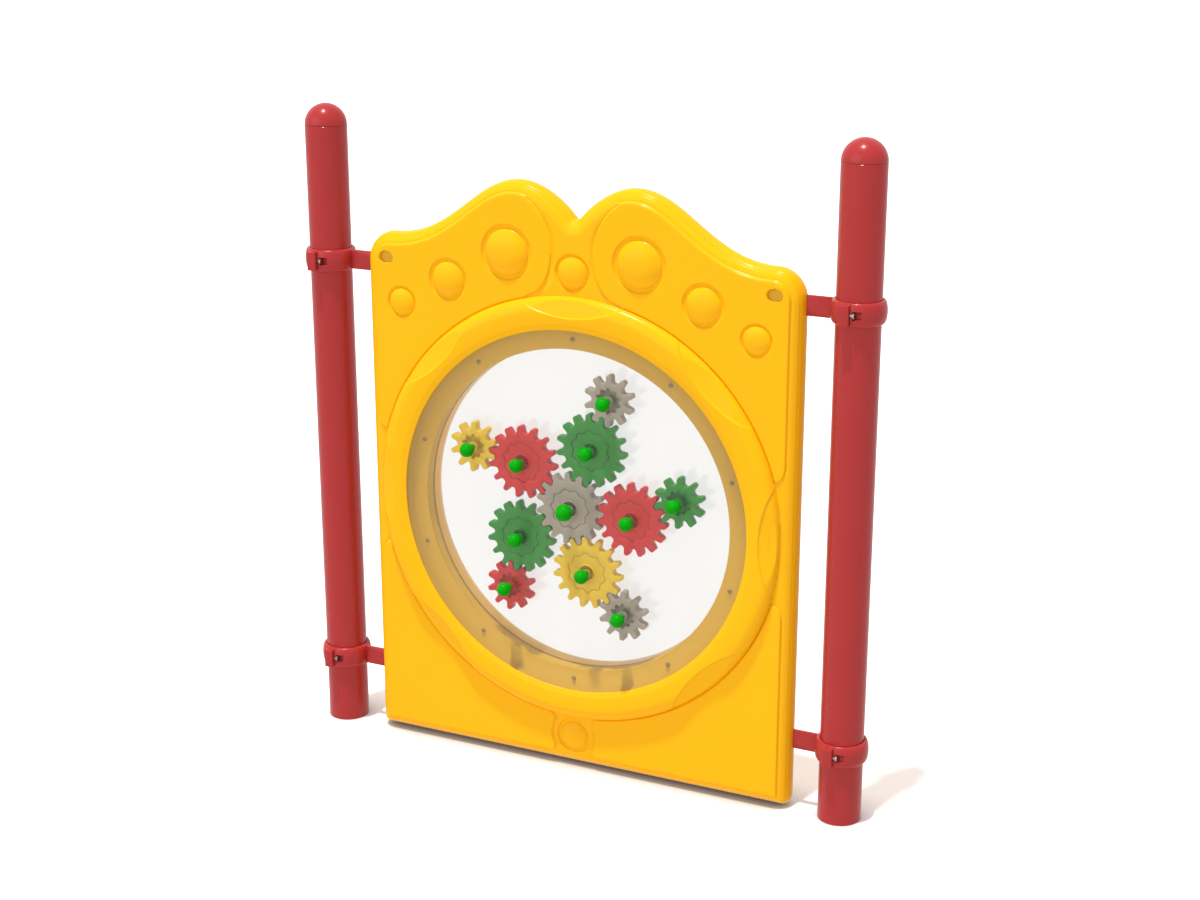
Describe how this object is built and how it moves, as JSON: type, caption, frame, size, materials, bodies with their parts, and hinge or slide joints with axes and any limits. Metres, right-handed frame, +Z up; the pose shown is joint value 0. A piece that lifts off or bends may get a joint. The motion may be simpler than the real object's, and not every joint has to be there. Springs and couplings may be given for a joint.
{
  "type": "playground gear play panel",
  "caption": "Moulded play panel with a round double window and a train of meshing gears turned by ball knobs, held between two round posts by straps and clamps.",
  "frame": {"origin": "middle of the bounding box at the bottom, on the surface that both posts stand on", "axes": "+Z up along the posts; -Y the way the knobs' side faces; +X to the right seen from the knobs' side"},
  "size_m": [1.2878, 0.1436, 1.3863],
  "materials": {
    "panel_yellow": "gloss",
    "post_red": "semi-gloss powder coat",
    "steel": "satin",
    "screw_steel": "satin",
    "window_clear": "clear",
    "gear_red": "satin",
    "gear_green": "satin",
    "gear_yellow": "satin",
    "gear_grey": "satin",
    "knob_green": "gloss"
  },
  "bodies": {
    "panel_frame": {"post_left": "post_red", "post_right": "post_red", "post_cap_left": "post_red", "post_cap_right": "post_red", "clamp_outer_top_left": "post_red", "clamp_inner_top_left": "post_red", "clamp_outer_top_right": "post_red", "clamp_inner_top_right": "post_red", "clamp_outer_bottom_left": "post_red", "clamp_inner_bottom_left": "post_red", "clamp_outer_bottom_right": "post_red", "clamp_inner_bottom_right": "post_red", "clamp_bolt_front_top_left": "steel", "clamp_bolt_rear_top_left": "steel", "clamp_bolt_front_top_right": "steel", "clamp_bolt_rear_top_right": "steel", "clamp_bolt_front_bottom_left": "steel", "clamp_bolt_rear_bottom_left": "steel", "clamp_bolt_front_bottom_right": "steel", "clamp_bolt_rear_bottom_right": "steel", "strap_bolt_top_left": "steel", "strap_bolt_top_right": "steel", "strap_bolt_bottom_left": "steel", "strap_bolt_bottom_right": "steel", "panel_front": "panel_yellow", "panel_rear": "panel_yellow", "front_window": "window_clear", "rear_window": "window_clear", "flange_screw_01": "screw_steel", "flange_screw_02": "screw_steel", "flange_screw_03": "screw_steel", "flange_screw_04": "screw_steel", "flange_screw_05": "screw_steel", "flange_screw_06": "screw_steel", "flange_screw_07": "screw_steel", "flange_screw_08": "screw_steel", "flange_screw_09": "screw_steel", "flange_screw_10": "screw_steel"},
    "wheel_centre": {"gear_centre": "gear_grey", "knob_centre": "knob_green"},
    "wheel_ring_upper_left": {"gear_ring_upper_left": "gear_red", "knob_ring_upper_left": "knob_green"},
    "wheel_ring_top": {"gear_ring_top": "gear_green", "knob_ring_top": "knob_green"},
    "wheel_ring_right": {"gear_ring_right": "gear_red", "knob_ring_right": "knob_green"},
    "wheel_ring_bottom": {"gear_ring_bottom": "gear_yellow", "knob_ring_bottom": "knob_green"},
    "wheel_ring_lower_left": {"gear_ring_lower_left": "gear_green", "knob_ring_lower_left": "knob_green"},
    "wheel_small_upper_left": {"gear_small_upper_left": "gear_yellow", "knob_small_upper_left": "knob_green"},
    "wheel_small_top": {"gear_small_top": "gear_grey", "knob_small_top": "knob_green"},
    "wheel_small_right": {"gear_small_right": "gear_green", "knob_small_right": "knob_green"},
    "wheel_small_bottom": {"gear_small_bottom": "gear_grey", "knob_small_bottom": "knob_green"},
    "wheel_small_lower_left": {"gear_small_lower_left": "gear_red", "knob_small_lower_left": "knob_green"}
  },
  "joints": [
    {"name": "spin_centre", "type": "hinge", "parent": "panel_frame", "child": "wheel_centre", "pos_m": [-0.004, -0.01825, 0.588], "axis": [0, -1, 0], "continuous": true},
    {"name": "spin_ring_upper_left", "type": "hinge", "parent": "panel_frame", "child": "wheel_ring_upper_left", "pos_m": [-0.11447, -0.01825, 0.674], "axis": [0, -1, 0], "continuous": true},
    {"name": "spin_ring_top", "type": "hinge", "parent": "panel_frame", "child": "wheel_ring_top", "pos_m": [0.04365, -0.01825, 0.71964], "axis": [0, -1, 0], "continuous": true},
    {"name": "spin_ring_right", "type": "hinge", "parent": "panel_frame", "child": "wheel_ring_right", "pos_m": [0.13592, -0.01825, 0.58336], "axis": [0, -1, 0], "continuous": true},
    {"name": "spin_ring_bottom", "type": "hinge", "parent": "panel_frame", "child": "wheel_ring_bottom", "pos_m": [0.03482, -0.01825, 0.45349], "axis": [0, -1, 0], "continuous": true},
    {"name": "spin_ring_lower_left", "type": "hinge", "parent": "panel_frame", "child": "wheel_ring_lower_left", "pos_m": [-0.11993, -0.01825, 0.50951], "axis": [0, -1, 0], "continuous": true},
    {"name": "spin_small_upper_left", "type": "hinge", "parent": "panel_frame", "child": "wheel_small_upper_left", "pos_m": [-0.22957, -0.01825, 0.69305], "axis": [0, -1, 0], "continuous": true},
    {"name": "spin_small_top", "type": "hinge", "parent": "panel_frame", "child": "wheel_small_top", "pos_m": [0.08356, -0.01825, 0.82927], "axis": [0, -1, 0], "continuous": true},
    {"name": "spin_small_right", "type": "hinge", "parent": "panel_frame", "child": "wheel_small_right", "pos_m": [0.24024, -0.01825, 0.6356], "axis": [0, -1, 0], "continuous": true},
    {"name": "spin_small_bottom", "type": "hinge", "parent": "panel_frame", "child": "wheel_small_bottom", "pos_m": [0.11718, -0.01825, 0.37085], "axis": [0, -1, 0], "continuous": true},
    {"name": "spin_small_lower_left", "type": "hinge", "parent": "panel_frame", "child": "wheel_small_lower_left", "pos_m": [-0.14637, -0.01825, 0.39588], "axis": [0, -1, 0], "continuous": true}
  ],
  "couplings": [
    {"joint": "spin_ring_upper_left", "follows": "spin_centre", "ratio": -1},
    {"joint": "spin_ring_top", "follows": "spin_centre", "ratio": -1},
    {"joint": "spin_ring_right", "follows": "spin_centre", "ratio": -1},
    {"joint": "spin_ring_bottom", "follows": "spin_centre", "ratio": -1},
    {"joint": "spin_ring_lower_left", "follows": "spin_centre", "ratio": -1},
    {"joint": "spin_small_upper_left", "follows": "spin_centre", "ratio": 1.5},
    {"joint": "spin_small_top", "follows": "spin_centre", "ratio": 1.5},
    {"joint": "spin_small_right", "follows": "spin_centre", "ratio": 1.5},
    {"joint": "spin_small_bottom", "follows": "spin_centre", "ratio": 1.5},
    {"joint": "spin_small_lower_left", "follows": "spin_centre", "ratio": 1.5}
  ]
}
